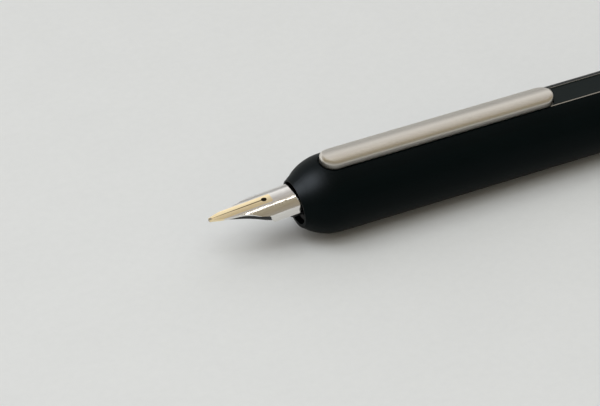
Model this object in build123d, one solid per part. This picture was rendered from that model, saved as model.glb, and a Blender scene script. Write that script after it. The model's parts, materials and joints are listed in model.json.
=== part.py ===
"""Capless fountain pen with a twist-retracted nib, ball shutter and let-in clip.

The pen is drawn along X with the nose rim near X = 0, the barrel axis on the X axis
and the clip on top (+Z).  Every node is then moved so that the barrel's lowest
line lies on Z = 0 and the origin is the bottom centre of the whole pen.
The pen is drawn with the nib out, the clip lowered and the shutter parked.
All sizes are in millimetres.
"""
import os
from math import cos, hypot, pi, radians, sin, sqrt, tan

from build123d import *

# overall
BARREL_R = 6.85
BARREL_LEN = 138.5
NIB_REACH = 15.8
SEAM_X = 71.9
SEAM_GAP = 0.4
SEAM_TURN = 4.5

# nose and tail domes: half-ellipses cut off at the openings
DOME_LEN = 8.3
MOUTH_R = 3.8
TAIL_HOLE_R = 3.7

# conical lip round the mouth, cut off by the tilted rim plane
LIP_BACK = 0.85
LIP_BACK_R = 4.79
LIP_FRONT = -0.5
LIP_FRONT_R = 3.92
RIM_X = -0.06
RIM_TILT = 5.9

# shells
FRONT_BORE_R = 5.95
REAR_BORE_R = 6.0

# ball shutter
BALL_X = 5.9
BALL_CAVITY_R = 5.95
SHUTTER_R = 5.8
SHUTTER_WALL = 0.5
SHUTTER_SPAN = 88.0
SHUTTER_PARKED_EDGE = -37.0
PIVOT_R = 0.5

# clip
CLIP_HALF_W = 2.3
CLIP_FRONT = 4.75
CLIP_REAR = 48.95
CLIP_BOTTOM = 6.32
CLIP_TOP = 8.0
CLIP_CROWN_R = 6.0
CLIP_ROUNDING = 0.6
CLIP_GAP = 0.32
POCKET_FLOOR = 6.16
CLIP_PIN_X = 47.5
CLIP_PIN_Z = 5.2
CLIP_PIN_R = 0.35
CLIP_PIN_HALF_LEN = 2.1
CLIP_LIFT_DEG = 1.5

# spine strip
SPINE_HALF_W = 2.27
TRIM_W = 0.15
TRIM_SLOPE = 0.05
SPINE_TOP = 6.3
TRIM_TOP = 6.46
SPINE_FLOOR = 6.15
SPINE_START = 47.5
SPINE_END = 128.0

# nib carriage drive
TRAVEL = 30.0
GUIDE_BORE_R = 4.0
NECK_R = 4.6
NECK_END = 117.0
GUIDE_START = 9.6
FOLLOWER_X = 78.0
FOLLOWER_R = 1.0
SLEEVE_BORE_R = 4.7
SLEEVE_R = 5.6
SLEEVE_START = 73.0
SLEEVE_END = 113.0

# nib
NIB_SLOPE = 0.0803
NIB_TOP_AT_RIM = 3.12
NIB_HALF_W = 3.1
NIB_CROWN_R = 5.0
NIB_CORNER_R = 1.3
NIB_SHEET = 0.42
NIB_SKIRT_Z = -0.08
NIB_ROOT = 3.4
BREATHER_X = -5.7
BREATHER_R = 0.48
SLIT_W = 0.1
# nib seen from above: distance along the pen and half-width, from the tip to the shoulders
NIB_OUTLINE = [
    (-15.7, 0.3),
    (-14.9, 0.6),
    (-13.3, 1.05),
    (-11.4, 1.34),
    (-9.9, 1.62),
    (-9.0, 2.0),
    (-8.0, 2.52),
    (-7.0, 2.95),
    (-6.2, 3.2),
]

# feed under the nib: distance along the pen, radius and height of its centre
FEED_SECTIONS = [
    (-1.2, 2.15, 0.25),
    (-3.2, 2.2, 0.38),
    (-5.0, 2.17, 0.68),
    (-6.8, 1.87, 1.06),
    (-9.0, 1.25, 1.2),
    (-11.2, 0.8, 1.32),
    (-13.2, 0.4, 1.32),
]
FEED_ROOT_R = 2.3
FEED_END = 8.0

# collar, carriage and converter
COLLAR_START = 2.2
COLLAR_R = 3.6
CARRIAGE_START = 10.5
CARRIAGE_END = 99.0
CARRIAGE_R = 3.92
CARRIAGE_BORE_R = 3.45
RIB_END = 43.5
RIB_HALF_W = 0.8
ROCKER_FOOT_X = 42.0
CONVERTER_R = 3.35
CONVERTER_BORE_R = 2.9
PISTON_STROKE = 24.0

TO_FRAME = Location((-(BARREL_LEN - NIB_REACH) / 2, 0, BARREL_R))


def disc_x(radius, x0, x1, seam_deg=0.0):
    """Cylinder about the pen axis from x0 to x1, its seam turned from the lowest line."""
    cylinder = Rotation(0, 90, 0) * Cylinder(radius, x1 - x0)
    return Location(((x0 + x1) / 2, 0, 0)) * Rotation(seam_deg, 0, 0) * cylinder


def tube_x(outer, inner, x0, x1):
    """Tube about the pen axis from x0 to x1."""
    return disc_x(outer, x0, x1) - disc_x(inner, x0 - 1, x1 + 1)


def block(x0, x1, y0, y1, z0, z1):
    """Box given by its limits."""
    centre = ((x0 + x1) / 2, (y0 + y1) / 2, (z0 + z1) / 2)
    return Location(centre) * Box(x1 - x0, y1 - y0, z1 - z0)


def pin_y(radius, x, z, y0, y1):
    """Cylinder parallel to Y."""
    return Location((x, (y0 + y1) / 2, z)) * Rotation(90, 0, 0) * Cylinder(radius, y1 - y0)


def side_prism(points, half_width):
    """Prism across the pen: a closed outline of (x, z) points, extruded both ways along Y."""
    wire = Polyline(*[(x, 0, z) for x, z in points], close=True)
    return extrude(make_face(wire), amount=half_width, dir=(0, 1, 0), both=True)


def mirrored(shape):
    """The shape and its mirror image across the pen's upright middle plane."""
    return shape + mirror(shape, about=Plane.XZ)


def stadium(x0, x1, half_width, z0, z1):
    """Upright slab with round ends."""
    body = block(x0 + half_width, x1 - half_width, -half_width, half_width, z0, z1)
    for x in (x0 + half_width, x1 - half_width):
        body = body + Location((x, 0, (z0 + z1) / 2)) * Cylinder(half_width, z1 - z0)
    return body


def dome_start(cut_radius):
    """Distance from the cut end of a dome to where it reaches full radius."""
    return DOME_LEN * sqrt(1 - (cut_radius / BARREL_R) ** 2)


def dome_solid(x_full, x_end, cut_radius):
    """Solid end of the barrel from its full radius to a round cut."""
    length = dome_start(cut_radius)
    steps = 8
    side = []
    for i in range(steps + 1):
        along = length * sin(radians(90 * i / steps))
        radius = BARREL_R * sqrt(1 - (along / DOME_LEN) ** 2)
        side.append((x_full + (x_end - x_full) * along / length, 0, radius))
    end_slope = -length / DOME_LEN**2 * BARREL_R**2 / side[-1][2]
    heading = 1 if x_end > x_full else -1
    curve = Spline(*side, tangents=[(heading, 0, 0), (heading, 0, end_slope)])
    lines = curve + Polyline(side[-1], (x_end, 0, 0), (x_full, 0, 0), side[0])
    return revolve(make_face(lines), Axis.X, 360)


def make_lip():
    """Solid cone in front of the nose dome."""
    cone = Rotation(0, -90, 0) * Cone(LIP_BACK_R, LIP_FRONT_R, LIP_BACK - LIP_FRONT)
    return Location(((LIP_BACK + LIP_FRONT) / 2, 0, 0)) * cone


def rim_cutter():
    """Everything in front of the tilted rim plane."""
    reach = 12.0
    lean = reach * tan(radians(RIM_TILT))
    return side_prism([(RIM_X - lean, reach), (RIM_X + lean, -reach), (-20, -reach), (-20, reach)], reach)


# ---------------------------------------------------------------- barrel shells

def spine_groove(x0, x1):
    """Cutter for the strip's groove, open at the top."""
    half = SPINE_HALF_W + TRIM_W
    return block(x0, x1, -half, half, SPINE_FLOOR, BARREL_R + 1)


def make_front_shell():
    x_full = LIP_BACK + dome_start(LIP_BACK_R)
    body = dome_solid(x_full, LIP_BACK, LIP_BACK_R) + disc_x(BARREL_R, x_full, SEAM_X, SEAM_TURN)
    body = body + make_lip() - rim_cutter()
    body = body - disc_x(MOUTH_R, -3, BALL_X)
    body = body - Location((BALL_X, 0, 0)) * Sphere(BALL_CAVITY_R)
    body = body - disc_x(FRONT_BORE_R, BALL_X, SEAM_X + 1)
    pocket = stadium(
        CLIP_FRONT - CLIP_GAP, CLIP_REAR + CLIP_GAP, CLIP_HALF_W + CLIP_GAP, POCKET_FLOOR, BARREL_R + 1
    )
    body = body - pocket
    body = body - block(40.3, 49.4, -1.7, 1.7, 5.0, BARREL_R)
    body = body - spine_groove(47.0, SEAM_X + 1)
    for y in (-1, 1):
        low, high = sorted((5.2 * y, 6.45 * y))
        body = body - pin_y(PIVOT_R, BALL_X, 0, low, high)
    return body


def make_rear_shell():
    x_full = BARREL_LEN - dome_start(MOUTH_R + 0.15)
    start = SEAM_X + SEAM_GAP
    body = dome_solid(x_full, BARREL_LEN, MOUTH_R + 0.15)
    body = body + disc_x(BARREL_R, start, x_full, SEAM_TURN)
    body = body - disc_x(REAR_BORE_R, start - 1, x_full - 0.6)
    body = body - Location((x_full - 0.6, 0, 0)) * Sphere(REAR_BORE_R)
    body = body - disc_x(TAIL_HOLE_R, x_full, BARREL_LEN + 1)
    body = body - spine_groove(start - 1, SPINE_END)
    return body


def make_tail_cap():
    crown_r = 14.0
    crown = Location((BARREL_LEN - crown_r, 0, 0)) * Sphere(crown_r)
    return disc_x(TAIL_HOLE_R - 0.03, BARREL_LEN - 1.4, BARREL_LEN + 1) & crown


def clip_clearance():
    """Room for the clip's rear end in the front ends of the strip and its trims."""
    room = 0.15
    return stadium(CLIP_FRONT - room, CLIP_REAR + room, CLIP_HALF_W + room, SPINE_FLOOR - 1, BARREL_R)


def make_spine(x0, x1):
    return block(x0, x1, -SPINE_HALF_W, SPINE_HALF_W, SPINE_FLOOR, SPINE_TOP)


def make_trim(x0, x1):
    """Thin metal edges of the strip, their tops sloping outwards like the barrel."""
    outer = SPINE_HALF_W + TRIM_W
    section = Polyline(
        (x0, SPINE_HALF_W, SPINE_FLOOR),
        (x0, outer, SPINE_FLOOR),
        (x0, outer, TRIM_TOP - TRIM_SLOPE),
        (x0, SPINE_HALF_W, TRIM_TOP),
        close=True,
    )
    return mirrored(extrude(make_face(section), amount=x1 - x0, dir=(1, 0, 0)))


def make_seam_washer():
    return tube_x(6.3, 5.5, SEAM_X + 0.02, SEAM_X + 0.3)


# ---------------------------------------------------------------- shutter

def make_shutter():
    shell = Sphere(SHUTTER_R) - Sphere(SHUTTER_R - SHUTTER_WALL)
    reach = 14.0
    first = radians(SHUTTER_PARKED_EDGE)
    last = radians(SHUTTER_PARKED_EDGE - SHUTTER_SPAN)
    middle = (first + last) / 2
    corners = [(0, 0)]
    for angle in (first, middle, last):
        stretch = reach * (1.4 if angle == middle else 1.0)
        corners.append((-stretch * cos(angle), stretch * sin(angle)))
    lid = shell & side_prism(corners, SHUTTER_R + 1)
    boss_disc = pin_y(1.25, 0, 0, 5.1, SHUTTER_R) & Sphere(SHUTTER_R)
    lid = lid + mirrored(boss_disc)
    lid = lid - pin_y(PIVOT_R + 0.05, 0, 0, -7, 7)
    return Location((BALL_X, 0, 0)) * lid


def make_shutter_pins():
    return mirrored(pin_y(PIVOT_R, BALL_X, 0, 5.2, 6.45))


# ---------------------------------------------------------------- clip

def make_clip():
    slab = stadium(CLIP_FRONT, CLIP_REAR, CLIP_HALF_W, CLIP_BOTTOM, CLIP_TOP + 1)
    crown = Location((0, 0, CLIP_TOP - CLIP_CROWN_R)) * disc_x(CLIP_CROWN_R, CLIP_FRONT - 1, CLIP_REAR + 1)
    bar = slab & crown
    top_edges = [e for e in bar.edges() if e.bounding_box().min.Z > CLIP_BOTTOM + 0.4]
    bar = fillet(top_edges, CLIP_ROUNDING)
    bar = bar - stadium(CLIP_FRONT + 0.7, 40.0, CLIP_HALF_W - 0.7, CLIP_BOTTOM - 1, CLIP_BOTTOM + 0.65)
    tang = block(CLIP_PIN_X - 0.75, CLIP_PIN_X + 0.75, -0.8, 0.8, CLIP_PIN_Z, CLIP_BOTTOM + 0.2)
    tang = tang + pin_y(0.75, CLIP_PIN_X, CLIP_PIN_Z, -0.8, 0.8)
    hole = pin_y(CLIP_PIN_R + 0.05, CLIP_PIN_X, CLIP_PIN_Z, -2, 2)
    return bar + tang - hole


def make_clip_pin():
    return pin_y(CLIP_PIN_R, CLIP_PIN_X, CLIP_PIN_Z, -CLIP_PIN_HALF_LEN, CLIP_PIN_HALF_LEN)


def make_clip_rocker():
    cheek = block(44.0, 49.3, 0.95, 1.5, CLIP_PIN_Z - 0.55, 5.65)
    cheek = cheek - pin_y(CLIP_PIN_R + 0.05, CLIP_PIN_X, CLIP_PIN_Z, 0, 2)
    body = mirrored(cheek)
    body = body + block(41.2, 45.9, -1.5, 1.5, 5.3, 5.95)
    body = body + block(48.75, 49.3, -1.5, 1.5, CLIP_PIN_Z - 0.55, 5.3)
    body = body + block(41.2, 42.6, -1.5, 1.5, 5.9, CLIP_BOTTOM - 0.06)
    foot_bottom = rib_top(ROCKER_FOOT_X) + 0.06
    foot = block(41.6, 42.4, -0.65, 0.65, foot_bottom + 0.4, 5.4)
    foot = foot + pin_y(0.4, ROCKER_FOOT_X, foot_bottom + 0.4, -0.65, 0.65)
    return body + foot


def make_clip_spring():
    leaf = block(48.45, 48.6, -0.7, 0.7, 4.7, 5.85)
    root = block(48.45, 48.75, -0.7, 0.7, 4.7, 4.95)
    return leaf + root


# ---------------------------------------------------------------- drive

def make_guide():
    body = disc_x(FRONT_BORE_R - 0.02, GUIDE_START, SEAM_X) + disc_x(NECK_R, SEAM_X, NECK_END)
    body = body - disc_x(GUIDE_BORE_R, GUIDE_START - 1, NECK_END + 1)
    body = body - block(GUIDE_START - 1, 75.0, -0.9, 0.9, 0, 4.75)
    body = body - block(40.2, 49.8, -1.75, 1.75, 4.45, 8)
    body = body - make_clip_pin()
    slot_half = FOLLOWER_R + 0.1
    slot = block(FOLLOWER_X, FOLLOWER_X + TRAVEL, -6, 6, -slot_half, slot_half)
    for x in (FOLLOWER_X, FOLLOWER_X + TRAVEL):
        slot = slot + pin_y(slot_half, x, 0, -6, 6)
    body = body - slot
    body = body - tube_x(NECK_R + 1, NECK_R - 0.2, SLEEVE_END + 0.15, SLEEVE_END + 0.95)
    return body


def make_retaining_ring():
    return tube_x(5.4, NECK_R - 0.18, SLEEVE_END + 0.2, SLEEVE_END + 0.9)


def helical_slot():
    """Cutter for one left-handed half-turn slot, starting at the bottom line."""
    mid_r = (SLEEVE_BORE_R + SLEEVE_R) / 2
    width = 2 * FOLLOWER_R + 0.3
    path = Helix(pitch=2 * TRAVEL, height=TRAVEL, radius=mid_r, lefthand=True)
    start = path @ 0
    section = Plane(origin=start, x_dir=(1, 0, 0), z_dir=path % 0) * Rectangle(2.2, width)
    slot = sweep(section, path=path, is_frenet=True)
    ends = []
    for point in (start, path @ 1):
        outward = Plane(origin=(0, 0, point.Z), z_dir=(point.X, point.Y, 0))
        ends.append(outward * Location((0, 0, mid_r)) * Cylinder(width / 2, 2.2))
    slot = slot + ends[0] + ends[1]
    return Location((FOLLOWER_X, 0, 0)) * Rotation(0, 90, 0) * slot


def make_cam_sleeve():
    body = disc_x(SLEEVE_R, SLEEVE_START, SLEEVE_END)
    body = body + disc_x(REAR_BORE_R - 0.02, SLEEVE_START, SLEEVE_START + 2)
    body = body + disc_x(REAR_BORE_R - 0.02, SLEEVE_END - 2, SLEEVE_END)
    body = body - disc_x(SLEEVE_BORE_R, SLEEVE_START - 1, SLEEVE_END + 1)
    slot = helical_slot()
    for quarter in (90, -90):
        body = body - Rotation(quarter, 0, 0) * slot
    return body


# ---------------------------------------------------------------- nib and feed

def nib_section(inset, skirt_z):
    """Cross-section of the nib's outer skin, shrunk by inset, closed at skirt_z."""
    crown_r = NIB_CROWN_R - inset
    corner_r = NIB_CORNER_R - inset
    half = NIB_HALF_W - inset
    crown_z = -NIB_CROWN_R
    corner_y = NIB_HALF_W - NIB_CORNER_R
    spread = NIB_CROWN_R - NIB_CORNER_R
    corner_z = crown_z + sqrt(spread**2 - corner_y**2)
    lean = corner_y / spread
    join_y = crown_r * lean
    join_z = crown_z + crown_r * sqrt(1 - lean**2)
    bend = radians(45)
    bend_y = corner_y + corner_r * cos(bend)
    bend_z = corner_z + corner_r * sin(bend)
    top = ThreePointArc((0, -join_y, join_z), (0, 0, crown_z + crown_r), (0, join_y, join_z))
    right = ThreePointArc((0, join_y, join_z), (0, bend_y, bend_z), (0, half, corner_z))
    left = ThreePointArc((0, -join_y, join_z), (0, -bend_y, bend_z), (0, -half, corner_z))
    floor = Polyline((0, half, corner_z), (0, half, skirt_z), (0, -half, skirt_z), (0, -half, corner_z))
    return make_face(top + right + left + floor)


def nib_prism(inset, skirt_z, x_end):
    """The nib's section drawn along its drooping top line."""
    face = nib_section(inset, skirt_z)
    length = NIB_REACH + x_end + 2
    drift = Vector(-1, 0, -NIB_SLOPE).normalized()
    start = Location((x_end, 0, NIB_TOP_AT_RIM + NIB_SLOPE * x_end))
    return start * extrude(face, amount=length * hypot(1, NIB_SLOPE), dir=drift)


def nib_plan(z0, z1):
    """Slab with the nib's outline seen from above, wider than the nib behind the shoulders."""
    x_tip, half_tip = NIB_OUTLINE[0]
    x_end, half_end = NIB_OUTLINE[-1]
    wide = NIB_HALF_W + 1
    right = Spline(*[(x, y, z0) for x, y in NIB_OUTLINE])
    left = Spline(*[(x, -y, z0) for x, y in NIB_OUTLINE])
    tip = Line((x_tip, half_tip, z0), (x_tip, -half_tip, z0))
    root = Polyline(
        (x_end, half_end, z0),
        (x_end + 0.5, wide, z0),
        (NIB_ROOT, wide, z0),
        (NIB_ROOT, -wide, z0),
        (x_end + 0.5, -wide, z0),
        (x_end, -half_end, z0),
    )
    return extrude(make_face(right + tip + left + root), amount=z1 - z0, dir=(0, 0, 1))


def make_nib(tipping_ball):
    sheet = nib_prism(0, -5.0, NIB_ROOT) - nib_prism(NIB_SHEET, -7.0, NIB_ROOT + 1)
    sheet = sheet & nib_plan(-6, 6)
    skirt = [
        (NIB_ROOT + 1, 0.5),
        (0.0, 0.28),
        (-5.0, NIB_SKIRT_Z),
        (-5.3, 0.05),
        (-5.55, 0.4),
        (-5.7, 1.0),
        (-6.0, 1.32),
        (-6.9, 1.5),
        (-8.5, 1.72),
        (-9.4, 1.74),
        (-12.0, 1.64),
        (-17.0, 1.5),
        (-17.0, -8.0),
        (NIB_ROOT + 1, -8.0),
    ]
    sheet = sheet - side_prism(skirt, 8)
    sheet = sheet - tipping_ball
    sheet = sheet - Location((BREATHER_X, 0, 0)) * Cylinder(BREATHER_R, 14)
    return sheet - block(-NIB_REACH - 1, BREATHER_X, -SLIT_W / 2, SLIT_W / 2, 0, 5)


def make_tipping_ball():
    ball_r = 0.36
    x = -NIB_REACH + ball_r
    z = NIB_TOP_AT_RIM + NIB_SLOPE * (x + 0.2) - NIB_SHEET / 2 - 0.05
    return Location((x, 0, z)) * Sphere(ball_r)


def feed_blank(grow=0.0):
    """The feed before its fins are cut, its root enlarged by grow."""
    step_x = FEED_SECTIONS[0][0]
    keel = loft([Plane.YZ.offset(x) * Location((0, z, 0)) * Circle(r) for x, r, z in FEED_SECTIONS])
    root_z = 0.1
    root = Location((0, 0, root_z)) * disc_x(FEED_ROOT_R + grow, step_x, FEED_END + grow)
    cheeks = block(step_x, FEED_END + grow, -1.9 - grow, 1.9 + grow, root_z, 4)
    return (keel + root + cheeks) & nib_prism(NIB_SHEET + 0.02 - grow, -8.0, FEED_END + grow)


def make_feed():
    body = feed_blank()
    fins = 9
    for i in range(fins):
        x = -5.6 + 0.7 * i
        floor = -0.35 - 0.17 * i
        body = body - block(x, x + 0.3, -4, 4, -4, floor)
    return body


def make_collar():
    body = disc_x(COLLAR_R, COLLAR_START, CARRIAGE_START)
    body = body + disc_x(CARRIAGE_BORE_R - 0.35, CARRIAGE_START, 13.5)
    body = body + disc_x(1.3, 13.5, 17.0)
    body = body - disc_x(0.5, 7.5, 18.0)
    nib_pocket = nib_prism(-0.03, -5.0, NIB_ROOT + 0.03) - nib_prism(NIB_SHEET + 0.03, -7.0, NIB_ROOT + 1)
    nib_pocket = nib_pocket & block(0, NIB_ROOT + 1, -5, 5, 0.25, 5)
    return body - nib_pocket - feed_blank(0.03)


# ---------------------------------------------------------------- carriage and converter

def rib_top(x):
    """Height of the carriage's top rib, which lifts the clip rocker as the nib draws back."""
    arm = CLIP_PIN_X - ROCKER_FOOT_X
    rise = arm * sin(radians(CLIP_LIFT_DEG))
    return 4.30 + rise * (ROCKER_FOOT_X - x) / TRAVEL


def make_carriage():
    body = disc_x(CARRIAGE_R, CARRIAGE_START, CARRIAGE_END)
    rib = [
        (CARRIAGE_START, 3.7),
        (RIB_END, 3.7),
        (RIB_END, rib_top(RIB_END)),
        (CARRIAGE_START, rib_top(CARRIAGE_START)),
    ]
    body = body + side_prism(rib, RIB_HALF_W)
    body = body - disc_x(CARRIAGE_BORE_R, 13.5, CARRIAGE_END + 1)
    body = body - disc_x(CARRIAGE_BORE_R - 0.33, CARRIAGE_START - 1, 14)
    body = body - pin_y(FOLLOWER_R, FOLLOWER_X, 0, -5, 5)
    return body


def make_follower_pins():
    return mirrored(pin_y(FOLLOWER_R, FOLLOWER_X, 0, CARRIAGE_BORE_R + 0.03, SLEEVE_R - 0.1))


def make_converter_tube():
    body = tube_x(CONVERTER_R, CONVERTER_BORE_R, 17.5, 62.0)
    return body + tube_x(CONVERTER_R, 1.32, 14.2, 17.5)


def make_converter_sleeve():
    body = tube_x(CONVERTER_R, CONVERTER_BORE_R, 62.02, 80.0)
    return body + tube_x(CONVERTER_R, 1.7, 80.0, 82.0)


def make_converter_nut():
    return tube_x(CONVERTER_BORE_R - 0.02, 1.2, 63.0, 66.0)


def make_converter_knob():
    body = disc_x(CONVERTER_R - 0.05, 82.2, 92.0) + disc_x(1.6, 68.0, 82.2)
    body = body - disc_x(1.15, 67.0, 91.2)
    grooves = 12
    for i in range(grooves):
        groove = Location((87.5, 0, CONVERTER_R)) * Box(7.0, 0.35, 0.5)
        body = body - Rotation(360 * i / grooves, 0, 0) * groove
    return body


def make_piston():
    return disc_x(CONVERTER_BORE_R - 0.05, 27.0, 28.2) + disc_x(2.2, 28.2, 29.8) + disc_x(
        CONVERTER_BORE_R - 0.05, 29.8, 31.0
    )


def make_piston_rod():
    return disc_x(1.05, 31.02, 66.5)


# ---------------------------------------------------------------- write the nodes

tipping_ball = make_tipping_ball()

nodes = {
    "front_shell": make_front_shell(),
    "rear_shell": make_rear_shell(),
    "tail_cap": make_tail_cap(),
    "spine_front": make_spine(SPINE_START, SEAM_X - 0.02) - clip_clearance(),
    "spine_rear": make_spine(SEAM_X + SEAM_GAP + 0.02, SPINE_END - 0.02),
    "trim_front": make_trim(SPINE_START, SEAM_X - 0.02) - clip_clearance(),
    "trim_rear": make_trim(SEAM_X + SEAM_GAP + 0.02, SPINE_END - 0.02),
    "seam_washer": make_seam_washer(),
    "shutter": make_shutter(),
    "shutter_pins": make_shutter_pins(),
    "clip": make_clip(),
    "clip_pin": make_clip_pin(),
    "clip_rocker": make_clip_rocker(),
    "clip_spring": make_clip_spring(),
    "guide": make_guide(),
    "retaining_ring": make_retaining_ring(),
    "cam_sleeve": make_cam_sleeve(),
    "nib": make_nib(tipping_ball),
    "tipping": tipping_ball - block(-NIB_REACH - 1, -14, -SLIT_W / 2, SLIT_W / 2, 0, 5),
    "feed": make_feed(),
    "collar": make_collar(),
    "carriage": make_carriage(),
    "follower_pins": make_follower_pins(),
    "converter_tube": make_converter_tube(),
    "converter_sleeve": make_converter_sleeve(),
    "converter_nut": make_converter_nut(),
    "converter_knob": make_converter_knob(),
    "piston": make_piston(),
    "piston_rod": make_piston_rod(),
}

os.makedirs("parts", exist_ok=True)
for name, shape in nodes.items():
    solids = shape.solids()
    whole = solids[0] if len(solids) == 1 else Compound(solids)
    export_step(whole.moved(TO_FRAME), f"parts/{name}.step")
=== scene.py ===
"""Looks for the capless fountain pen: materials, floor, light and camera."""
import json
import math

import bpy
from mathutils import Matrix, Vector

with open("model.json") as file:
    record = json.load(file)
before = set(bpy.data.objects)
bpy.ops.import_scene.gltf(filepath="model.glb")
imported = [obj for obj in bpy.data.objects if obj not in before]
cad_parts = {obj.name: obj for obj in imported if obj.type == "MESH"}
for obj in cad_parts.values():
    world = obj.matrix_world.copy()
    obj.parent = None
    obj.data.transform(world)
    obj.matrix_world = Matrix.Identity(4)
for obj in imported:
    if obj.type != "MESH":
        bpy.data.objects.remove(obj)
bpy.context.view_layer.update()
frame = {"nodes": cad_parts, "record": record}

# ---------------------------------------------------------------- pen coordinates
# Along the pen from the nose rim, across it, and up from the barrel axis, in mm.
MM = 0.001
AXIS_Z = 6.85
RIM_X = -61.35


def at(x, y=0.0, z=0.0):
    """A point in pen millimetres as row-frame metres."""
    return Vector((x + RIM_X, y, z + AXIS_Z)) * MM


# ---------------------------------------------------------------- node helpers
class Nodes:
    """A small wrapper that builds a node tree."""

    def __init__(self, tree):
        self.tree = tree

    def add(self, kind, **values):
        node = self.tree.nodes.new(kind)
        for name, value in values.items():
            setattr(node, name, value)
        return node

    def link(self, source, target):
        self.tree.links.new(source, target)

    def coords(self, kind="Object"):
        return self.add("ShaderNodeTexCoord").outputs[kind]

    def axes(self, kind="Object"):
        """The X, Y and Z sockets of the coordinates."""
        split = self.add("ShaderNodeSeparateXYZ")
        self.link(self.coords(kind), split.inputs[0])
        return split.outputs

    def mapped(self, scale, offset=(0, 0, 0)):
        node = self.add("ShaderNodeMapping")
        node.inputs["Scale"].default_value = scale
        node.inputs["Location"].default_value = offset
        self.link(self.coords(), node.inputs["Vector"])
        return node.outputs["Vector"]

    def noise(self, vector, detail=3.0, rough=0.5):
        node = self.add("ShaderNodeTexNoise")
        node.inputs["Scale"].default_value = 1.0
        node.inputs["Detail"].default_value = detail
        node.inputs["Roughness"].default_value = rough
        self.link(vector, node.inputs["Vector"])
        return node.outputs["Fac"]

    def ramp(self, fac, stops):
        """A colour ramp through (position, colour) stops."""
        node = self.add("ShaderNodeValToRGB")
        elements = node.color_ramp.elements
        while len(elements) < len(stops):
            elements.new(0.5)
        for element, (position, colour) in zip(elements, stops):
            element.position = position
            element.color = (*colour, 1.0)
        self.link(fac, node.inputs["Fac"])
        return node.outputs["Color"]

    def span(self, fac, low, high, from_low=0.0, from_high=1.0):
        """Low to high while fac runs from from_low to from_high, clamped at both ends."""
        node = self.add("ShaderNodeMapRange")
        node.inputs["From Min"].default_value = from_low
        node.inputs["From Max"].default_value = from_high
        node.inputs["To Min"].default_value = low
        node.inputs["To Max"].default_value = high
        self.link(fac, node.inputs["Value"])
        return node.outputs["Result"]

    def math(self, operation, first, second=None):
        node = self.add("ShaderNodeMath", operation=operation)
        for socket, value in zip(node.inputs, (first, second)):
            if value is None:
                continue
            if isinstance(value, (int, float)):
                socket.default_value = value
            else:
                self.link(value, socket)
        return node.outputs[0]

    def mix(self, fac, first, second):
        node = self.add("ShaderNodeMix", data_type="RGBA")
        self.link(fac, node.inputs[0])
        for socket, value in ((node.inputs[6], first), (node.inputs[7], second)):
            if isinstance(value, tuple):
                socket.default_value = (*value, 1.0)
            else:
                self.link(value, socket)
        return node.outputs[2]

    def bump(self, height, strength, distance, normal=None):
        node = self.add("ShaderNodeBump")
        node.inputs["Strength"].default_value = strength
        node.inputs["Distance"].default_value = distance
        self.link(height, node.inputs["Height"])
        if normal is not None:
            self.link(normal, node.inputs["Normal"])
        return node.outputs["Normal"]


# ---------------------------------------------------------------- material helpers
# Noise seldom leaves this band, so colours and roughness are spread over it.
NOISE_LOW = 0.3
NOISE_HIGH = 0.7
FINE_SHARE = 0.65
BROAD_SCALE = 90
BROAD_OFFSET = (0.3, 0.1, 0.7)
GRAIN_DEPTH = 0.02 * MM

# Half the height, in pen millimetres, over which the painted shade on a foot fades out.
PAINTED_SHADE_FADE = 0.2


def new_material(name, metallic=0.0, specular=0.5, coat=0.0, coat_rough=0.1, transmission=0.0):
    """A material, its node helper and its shader."""
    material = bpy.data.materials.new(name)
    material.use_nodes = True
    nodes = Nodes(material.node_tree)
    shader = material.node_tree.nodes["Principled BSDF"]
    shader.inputs["Metallic"].default_value = metallic
    shader.inputs["Specular IOR Level"].default_value = specular
    shader.inputs["Coat Weight"].default_value = coat
    shader.inputs["Coat Roughness"].default_value = coat_rough
    shader.inputs["Transmission Weight"].default_value = transmission
    return material, nodes, shader


def painted_shade_below(nodes, colour, painted_shade_colour, height):
    """The colour, changed to a darker painted shade colour below a height above the barrel axis: painted
    shade that stands in for the dark reflection on a foot.
    """
    start = at(0, 0, height - PAINTED_SHADE_FADE).z
    end = at(0, 0, height + PAINTED_SHADE_FADE).z
    low = nodes.span(nodes.axes()["Z"], 1.0, 0.0, start, end)
    return nodes.mix(low, colour, painted_shade_colour)


def crowned(nodes, normal, crown):
    """The normal, bent outwards across the pen as if the surface fell by crown * y * y metres."""
    rise = nodes.math("MULTIPLY", nodes.math("POWER", nodes.axes()["Y"], 2.0), -crown)
    return nodes.bump(rise, 1.0, 1.0, normal)


def grained(name, dark, light, rough, grain, bump, stretch=(1, 1, 1), crown=0.0, painted_foot_shade=None, **shader_values):
    """A surface with fine grain and broad variation, from dark to light and between two roughnesses.

    The grain is drawn out where stretch is under 1. A painted foot shade is a (share of dark, height) pair:
    painted shade, darker below that height.
    """
    material, nodes, shader = new_material(name, **shader_values)
    fine = nodes.noise(nodes.mapped([grain * s for s in stretch]), detail=4.0, rough=0.6)
    broad = nodes.noise(nodes.mapped([BROAD_SCALE] * 3, BROAD_OFFSET), detail=2.0)
    fine_part = nodes.math("MULTIPLY", fine, FINE_SHARE)
    broad_part = nodes.math("MULTIPLY", broad, 1.0 - FINE_SHARE)
    both = nodes.math("ADD", fine_part, broad_part)

    colour = nodes.ramp(both, [(NOISE_LOW, dark), (NOISE_HIGH, light)])
    # painted shade: the colour turns darker below the foot's height
    if painted_foot_shade:
        share, height = painted_foot_shade
        colour = painted_shade_below(nodes, colour, tuple(share * c for c in dark), height)
    nodes.link(colour, shader.inputs["Base Color"])
    nodes.link(nodes.span(both, *rough, NOISE_LOW, NOISE_HIGH), shader.inputs["Roughness"])

    normal = nodes.bump(fine, bump, GRAIN_DEPTH)
    if crown:
        normal = crowned(nodes, normal, crown)
    nodes.link(normal, shader.inputs["Normal"])
    return material


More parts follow.
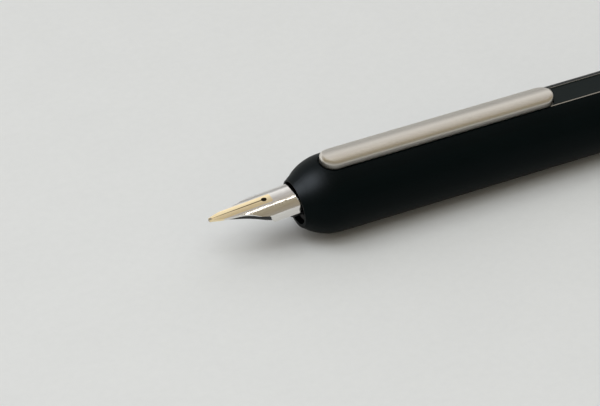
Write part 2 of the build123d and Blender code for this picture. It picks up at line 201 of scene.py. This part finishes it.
# ---------------------------------------------------------------- nib
# Sizes and places of the gold stripe and the slit, in pen millimetres.
GOLD_HALF_W = 1.03
GOLD_END_X = -4.4
GOLD_CORNER = 0.35
GOLD_EDGE_WOBBLE = 0.04
GOLD_EDGE_BLUR = 0.06
SLIT_HALF_W = 0.07
SLIT_BLUR = 0.05
SLIT_FADE_START_X = -14.6
SLIT_FADE_END_X = -8.2
SLIT_BACK_X = -5.9

SILVER_COLOURS = ((0.76, 0.74, 0.71), (0.84, 0.82, 0.79))
GOLD_COLOURS = ((0.94, 0.77, 0.47), (0.98, 0.83, 0.54))
SLIT_COLOUR = (0.16, 0.09, 0.03)
NIB_ROUGHNESS = (0.1, 0.18)
POLISH_SCALE = (250, 6000, 6000)
POLISH_DEPTH = 0.01 * MM


def gold_area(nodes):
    """1 on the gold stripe: a rounded rectangle, open towards the tip."""
    axes = nodes.axes()
    across = nodes.math("ABSOLUTE", axes["Y"])
    past_side = nodes.math("SUBTRACT", across, (GOLD_HALF_W - GOLD_CORNER) * MM)
    past_back = nodes.math("SUBTRACT", axes["X"], at(GOLD_END_X - GOLD_CORNER).x)
    side = nodes.math("MAXIMUM", past_side, 0.0)
    back = nodes.math("MAXIMUM", past_back, 0.0)
    squares = nodes.math("ADD", nodes.math("POWER", side, 2.0), nodes.math("POWER", back, 2.0))
    wobble = nodes.noise(nodes.mapped((900, 900, 900)), detail=2.0)
    shift = nodes.span(wobble, -GOLD_EDGE_WOBBLE * MM, GOLD_EDGE_WOBBLE * MM)
    reach = nodes.math("ADD", nodes.math("SQRT", squares), shift)
    inner = (GOLD_CORNER - GOLD_EDGE_BLUR) * MM
    outer = (GOLD_CORNER + GOLD_EDGE_BLUR) * MM
    return nodes.span(reach, 1.0, 0.0, inner, outer)


def slit_area(nodes):
    """1 on the slit's dark edges, which grow from the tip to the breather hole."""
    axes = nodes.axes()
    across = nodes.math("ABSOLUTE", axes["Y"])
    near_slit = nodes.span(across, 1.0, 0.0, SLIT_HALF_W * MM, (SLIT_HALF_W + SLIT_BLUR) * MM)
    after_tip = nodes.span(axes["X"], 0.0, 1.0, at(SLIT_FADE_START_X).x, at(SLIT_FADE_END_X).x)
    before_hole = nodes.span(axes["X"], 1.0, 0.0, at(SLIT_BACK_X).x, at(SLIT_BACK_X + SLIT_BLUR).x)
    return nodes.math("MULTIPLY", nodes.math("MULTIPLY", near_slit, after_tip), before_hole)


def make_nib_material():
    """Polished rhodium with a gold stripe from the tip to behind the breather hole."""
    material, nodes, shader = new_material("nib_metal", metallic=1.0)
    polish = nodes.noise(nodes.mapped(POLISH_SCALE), detail=3.0)
    silver = nodes.ramp(polish, list(zip((NOISE_LOW, NOISE_HIGH), SILVER_COLOURS)))
    gold = nodes.ramp(polish, list(zip((NOISE_LOW, NOISE_HIGH), GOLD_COLOURS)))
    plated = nodes.mix(gold_area(nodes), silver, gold)
    nodes.link(nodes.mix(slit_area(nodes), plated, SLIT_COLOUR), shader.inputs["Base Color"])
    nodes.link(nodes.span(polish, *NIB_ROUGHNESS, NOISE_LOW, NOISE_HIGH), shader.inputs["Roughness"])
    nodes.link(nodes.bump(polish, 0.02, POLISH_DEPTH), shader.inputs["Normal"])
    return material


# ---------------------------------------------------------------- materials
LACQUER = grained(
    "lacquer", (0.0006, 0.0024, 0.0026), (0.0015, 0.0038, 0.0042),
    rough=(0.36, 0.46), grain=9000, bump=0.08, specular=0.045,
)
SPINE = grained(
    "spine", (0.0075, 0.0115, 0.0115), (0.0115, 0.0165, 0.017),
    rough=(0.34, 0.46), grain=6000, bump=0.1, stretch=(0.05, 1, 1), specular=0.07,
)
TRIM = grained(
    "trim", (0.36, 0.34, 0.30), (0.48, 0.455, 0.40),
    rough=(0.26, 0.4), grain=5000, bump=0.1, stretch=(0.05, 1, 1), metallic=1.0,
)
WASHER = grained(
    "washer", (0.01, 0.01, 0.01), (0.016, 0.016, 0.016),
    rough=(0.5, 0.6), grain=5000, bump=0.1,
)
SHUTTER = grained(
    "shutter_metal", (0.003, 0.003, 0.0035), (0.005, 0.005, 0.006),
    rough=(0.14, 0.24), grain=5000, bump=0.05, specular=0.25, coat=0.1, coat_rough=0.06,
)
STEEL = grained(
    "steel", (0.42, 0.42, 0.42), (0.55, 0.55, 0.54),
    rough=(0.25, 0.4), grain=7000, bump=0.1, metallic=1.0,
)
# the clip's lower sides carry a painted shade, darker below 7.4 mm, for the dark reflection along them
CLIP = grained(
    "clip_metal", (0.68, 0.65, 0.59), (0.78, 0.74, 0.68),
    rough=(0.30, 0.38), grain=9000, bump=0.12, stretch=(0.12, 1, 1),
    crown=62.0, painted_foot_shade=(0.68, 7.4), metallic=1.0,
)
GUIDE = grained(
    "guide_plastic", (0.012, 0.012, 0.013), (0.02, 0.02, 0.021),
    rough=(0.5, 0.62), grain=6000, bump=0.2,
)
BRASS = grained(
    "cam_brass", (0.55, 0.4, 0.17), (0.66, 0.5, 0.24),
    rough=(0.25, 0.4), grain=6000, bump=0.1, metallic=1.0,
)
ALLOY = grained(
    "carriage_alloy", (0.5, 0.5, 0.51), (0.62, 0.62, 0.63),
    rough=(0.3, 0.42), grain=7000, bump=0.1, metallic=1.0,
)
NIB = make_nib_material()
TIPPING = grained(
    "tipping_metal", (0.64, 0.58, 0.46), (0.76, 0.69, 0.56),
    rough=(0.34, 0.46), grain=4000, bump=0.05, metallic=1.0,
)
FEED = grained(
    "feed_plastic", (0.004, 0.004, 0.0045), (0.008, 0.008, 0.009),
    rough=(0.42, 0.55), grain=8000, bump=0.2, specular=0.4,
)
COLLAR = grained(
    "collar_plastic", (0.004, 0.004, 0.0045), (0.007, 0.007, 0.008),
    rough=(0.16, 0.26), grain=4000, bump=0.06, specular=0.3,
)
CLEAR = grained(
    "clear_plastic", (0.86, 0.89, 0.9), (0.92, 0.94, 0.95),
    rough=(0.03, 0.08), grain=2000, bump=0.02, transmission=0.9,
)
CHROME = grained(
    "converter_chrome", (0.6, 0.6, 0.61), (0.7, 0.7, 0.71),
    rough=(0.08, 0.14), grain=5000, bump=0.04, metallic=1.0,
)
KNOB = grained(
    "knob_plastic", (0.01, 0.01, 0.011), (0.016, 0.016, 0.017),
    rough=(0.2, 0.32), grain=4000, bump=0.08,
)
RUBBER = grained(
    "piston_rubber", (0.01, 0.01, 0.01), (0.018, 0.018, 0.018),
    rough=(0.6, 0.75), grain=5000, bump=0.2,
)

MATERIAL_OF_SLOT = {
    "lacquer": LACQUER,
    "spine": SPINE,
    "trim": TRIM,
    "washer": WASHER,
    "shutter_metal": SHUTTER,
    "steel": STEEL,
    "clip_metal": CLIP,
    "guide_plastic": GUIDE,
    "cam_brass": BRASS,
    "carriage_alloy": ALLOY,
    "nib_metal": NIB,
    "tipping_metal": TIPPING,
    "feed_plastic": FEED,
    "collar_plastic": COLLAR,
    "clear_plastic": CLEAR,
    "converter_chrome": CHROME,
    "knob_plastic": KNOB,
    "piston_rubber": RUBBER,
}

for part in frame["record"]["subparts"]:
    cad = frame["nodes"][part["node"]]
    cad.data.materials.clear()
    cad.data.materials.append(MATERIAL_OF_SLOT[part["material_slot"]])

# ---------------------------------------------------------------- floor
FLOOR_HALF = 3.0


def make_floor():
    """A wide sheet of pale paper."""
    mesh = bpy.data.meshes.new("floor")
    corners = [(-1, -1), (1, -1), (1, 1), (-1, 1)]
    mesh.from_pydata([(x * FLOOR_HALF, y * FLOOR_HALF, 0.0) for x, y in corners], [], [(0, 1, 2, 3)])
    floor = bpy.data.objects.new("floor", mesh)
    bpy.context.collection.objects.link(floor)
    mesh.materials.append(grained(
        "floor_paper", (0.785, 0.805, 0.825), (0.815, 0.835, 0.855),
        rough=(0.7, 0.8), grain=700, bump=0.03, specular=0.2,
    ))


make_floor()

# ---------------------------------------------------------------- light
# The sky's colours run from the horizon behind the pen (0) over the top to the one in front (1).
SKY = [
    (0.0, (0.40, 0.40, 0.40)),
    (0.08, (0.50, 0.50, 0.50)),
    (0.13, (1.10, 1.10, 1.10)),
    (0.18, (1.02, 1.02, 1.02)),
    (0.26, (0.76, 0.75, 0.74)),
    (0.34, (0.54, 0.52, 0.51)),
    (0.45, (0.50, 0.47, 0.43)),
    (0.48, (0.36, 0.315, 0.22)),
    (0.80, (0.34, 0.30, 0.23)),
    (1.0, (0.36, 0.34, 0.30)),
]
SKY_SKEW = 0.115
SKY_SKEW_X = 0.27
SKY_SKEW_REACH = 0.13

LAMP_WARM = (1.0, 0.985, 0.955)
LAMP_COOL = (0.93, 0.97, 1.0)
LAMP_BLUE = (0.84, 0.90, 1.0)


def make_world():
    """Studio surroundings: bright behind and above the pen, a dim brown room in front."""
    world = bpy.data.worlds.new("studio")
    world.use_nodes = True
    bpy.context.scene.world = world
    nodes = Nodes(world.node_tree)
    background = world.node_tree.nodes["Background"]
    axes = nodes.axes("Generated")
    climb = nodes.math("ARCTAN2", axes["Z"], axes["Y"])
    turn = nodes.span(climb, 0.0, 1.0, 0.0, math.pi)

    # the bright wall stands askew, so it is lower towards the nose than towards the tail
    start = SKY_SKEW_X - SKY_SKEW_REACH
    end = SKY_SKEW_X + SKY_SKEW_REACH
    skew = nodes.span(axes["X"], -SKY_SKEW, SKY_SKEW, start, end)
    sky = nodes.ramp(nodes.math("SUBTRACT", turn, skew), SKY)
    nodes.link(sky, background.inputs["Color"])
    background.inputs["Strength"].default_value = 1.0


def add_lamp(name, place, size, energy, colour):
    """A rectangular lamp at a place, aimed at the middle of the pen."""
    light = bpy.data.lights.new(name, "AREA")
    light.shape = "RECTANGLE"
    light.size, light.size_y = size
    light.energy = energy
    light.color = colour
    lamp = bpy.data.objects.new(name, light)
    lamp.location = place
    lamp.rotation_mode = "QUATERNION"
    lamp.rotation_quaternion = (-Vector(place)).to_track_quat("-Z", "Y")
    bpy.context.collection.objects.link(lamp)
    return lamp


def make_lamps():
    # a thin lamp, seen only in reflections, for the bright line along the nib's fold
    strip = add_lamp("strip", (0.06, 0.155, 0.785), (0.30, 0.03), 0.16, LAMP_WARM)
    strip.visible_diffuse = False

    # two soft lamps that light the floor and throw the shadow
    front = add_lamp("front", (-0.16, -0.32, 1.04), (0.62, 0.62), 2.7, LAMP_COOL)
    side = add_lamp("side", (-0.44, 0.15, 1.0), (0.62, 0.62), 3.3, LAMP_COOL)
    for lamp in (front, side):
        lamp.visible_glossy = False

    # a lamp that only shapes the dark shells; it would burn out the bare metal
    sheen = add_lamp("sheen", (-0.75, 0.2, 0.95), (0.9, 0.9), 60.0, LAMP_BLUE)
    sheen.visible_diffuse = False
    shells = bpy.data.collections.new("shells")
    for name in ("front_shell", "rear_shell"):
        shells.objects.link(frame["nodes"][name])
    sheen.light_linking.receiver_collection = shells


make_world()
make_lamps()

# ---------------------------------------------------------------- camera
# Angles in degrees, distance and target in pen millimetres, lens in mm on a 36 mm sensor.
CAMERA_AZIMUTH = -26.35
CAMERA_ELEVATION = 38.16
CAMERA_ROLL = 0.40
CAMERA_DISTANCE = 475.9
CAMERA_TARGET = (0.72, -0.56, 0.10)
LENS = 171.15


def make_camera():
    azimuth = math.radians(CAMERA_AZIMUTH)
    elevation = math.radians(CAMERA_ELEVATION)
    back = Vector((
        math.sin(azimuth) * math.cos(elevation),
        -math.cos(azimuth) * math.cos(elevation),
        math.sin(elevation),
    ))
    right = (-back).cross(Vector((0, 0, 1))).normalized()
    up = right.cross(-back)
    roll = math.radians(CAMERA_ROLL)
    side = right * math.cos(roll) + up * math.sin(roll)
    top = up * math.cos(roll) - right * math.sin(roll)
    data = bpy.data.cameras.new("camera")
    data.lens = LENS
    data.sensor_width = 36.0
    data.clip_start = 0.01
    data.clip_end = 50.0
    camera = bpy.data.objects.new("camera", data)
    place = at(*CAMERA_TARGET) + back * CAMERA_DISTANCE * MM
    turn = Matrix((side, top, back)).transposed().to_4x4()
    camera.matrix_world = Matrix.Translation(place) @ turn
    bpy.context.collection.objects.link(camera)
    bpy.context.scene.camera = camera


make_camera()
bpy.context.scene.view_settings.view_transform = "Standard"
